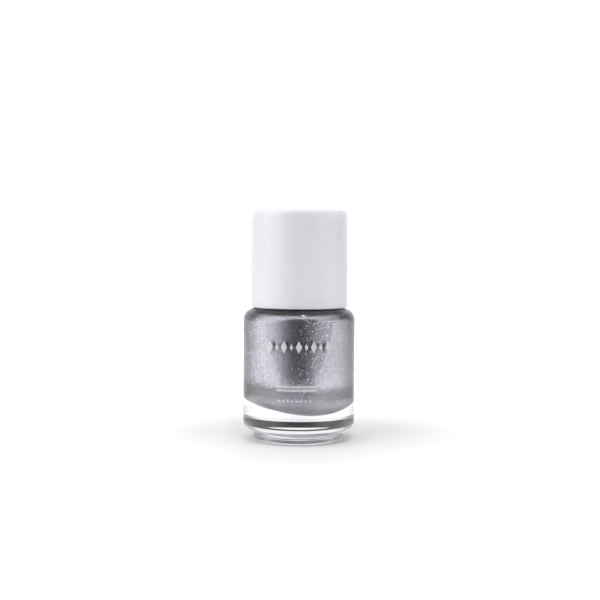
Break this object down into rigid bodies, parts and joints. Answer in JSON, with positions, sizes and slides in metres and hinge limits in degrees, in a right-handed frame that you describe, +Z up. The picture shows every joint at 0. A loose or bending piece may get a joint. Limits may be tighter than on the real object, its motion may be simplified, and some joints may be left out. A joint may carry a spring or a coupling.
{
  "type": "nail polish bottle",
  "caption": "Round glass nail polish bottle with a bevelled heavy base, tall smooth screw cap, brush on a stem, liquid fill and steel mixing balls.",
  "frame": {"origin": "centre of the foot's bearing ring, on the surface that the bottle stands on", "axes": "+Z up along the bottle's axis; the printed front faces -Y; +X is to the right seen from the front"},
  "size_m": [0.031, 0.031, 0.063],
  "materials": {
    "clear_glass": "clear polished soda-lime glass",
    "glitter_polish": "opaque silver liquid with fine and coarse glitter",
    "ball_steel": "polished stainless steel",
    "cap_plastic": "smooth satin-gloss white plastic",
    "inner_cap_plastic": "natural white polypropylene, matt",
    "washer_foam": "soft closed-cell sealing foam",
    "stem_plastic": "natural polyethylene, slightly waxy",
    "bristle_nylon": "fine black nylon filaments",
    "anchor_steel": "stamped steel plate",
    "print_ink": "pale grey screen-print ink"
  },
  "bodies": {
    "bottle": {"glass_bottle": "clear_glass", "polish_fill": "glitter_polish"},
    "seal": {"sealing_washer": "washer_foam"},
    "cap": {"outer_cap": "cap_plastic", "inner_cap": "inner_cap_plastic", "brush_stem": "stem_plastic", "brush_bristles": "bristle_nylon", "bristle_anchor": "anchor_steel"},
    "ball_1": {"mixing_ball_1": "ball_steel"},
    "ball_2": {"mixing_ball_2": "ball_steel"}
  },
  "joints": [
    {"name": "cap_rise", "type": "slide", "parent": "bottle", "child": "seal", "axis": [0, 0, 1], "range_m": [0, 0.0445], "deforming": ["polish_fill"]},
    {"name": "cap_unscrew", "type": "hinge", "parent": "seal", "child": "cap", "pos_m": [0, 0, 0.05], "axis": [0, 0, 1], "range_deg": [0, 7560], "deforming": ["polish_fill"]},
    {"name": "ball_1_rise", "type": "slide", "parent": "bottle", "child": "ball_1", "axis": [0.27, 0.13, 0.954], "range_m": [0, 0.023], "deforming": ["polish_fill"]},
    {"name": "ball_2_rise", "type": "slide", "parent": "bottle", "child": "ball_2", "axis": [0.27, -0.13, 0.954], "range_m": [0, 0.023], "deforming": ["polish_fill"]}
  ],
  "couplings": [
    {"joint": "cap_rise", "follows": "cap_unscrew", "m_per_rad": 0.00033688}
  ]
}
